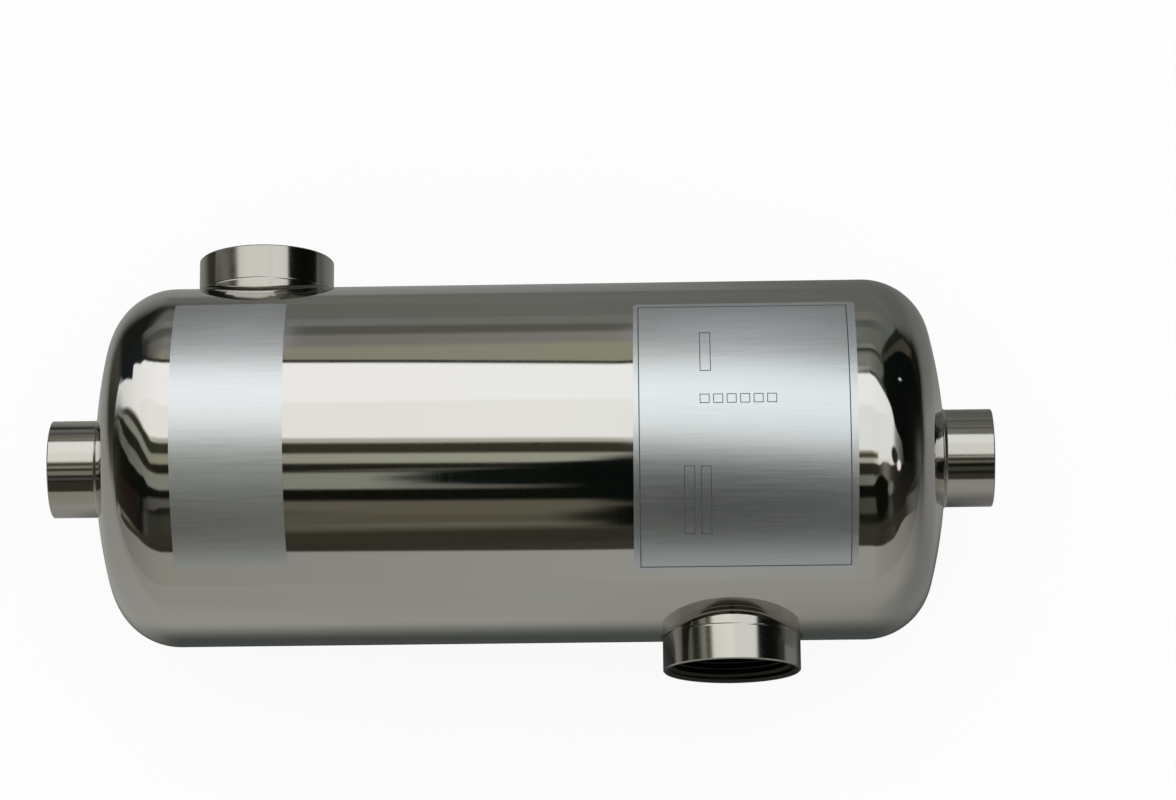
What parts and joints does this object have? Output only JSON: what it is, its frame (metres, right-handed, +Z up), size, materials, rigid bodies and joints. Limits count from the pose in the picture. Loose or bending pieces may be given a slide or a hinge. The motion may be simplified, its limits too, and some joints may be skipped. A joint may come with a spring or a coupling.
{
  "type": "pool heat exchanger",
  "caption": "Shell-and-tube pool heat exchanger: polished round vessel with dished heads, a threaded socket on each end and threaded water ports on opposite sides.",
  "frame": {"origin": "on the level surface that the vessel lies on, below the middle of its length, at the centre of the bounding box's underside", "axes": "+X along the vessel towards its right end, +Y out of the rear pool water port, +Z up"},
  "size_m": [0.366, 0.166, 0.14],
  "materials": {
    "polished_steel": "mirror-polished stainless steel",
    "weld_steel": "ground and polished stainless weld metal",
    "plate_steel": "mill-finish stainless plate",
    "tube_steel": "drawn stainless tube"
  },
  "bodies": {
    "root": {"shell": "polished_steel", "left_head": "polished_steel", "right_head": "polished_steel", "left_end_socket": "polished_steel", "right_end_socket": "polished_steel", "rear_port_socket": "polished_steel", "front_port_socket": "polished_steel", "left_girth_seam": "weld_steel", "right_girth_seam": "weld_steel", "left_end_weld": "weld_steel", "right_end_weld": "weld_steel", "rear_port_weld": "weld_steel", "front_port_weld": "weld_steel", "left_tube_sheet": "plate_steel", "right_tube_sheet": "plate_steel", "baffle_1": "plate_steel", "baffle_2": "plate_steel", "baffle_3": "plate_steel", "baffle_4": "plate_steel", "tube_row_1": "tube_steel", "tube_row_2": "tube_steel", "tube_row_3": "tube_steel", "tube_row_4": "tube_steel", "tube_row_5": "tube_steel", "tube_row_6": "tube_steel", "tube_row_7": "tube_steel"}
  },
  "joints": []
}
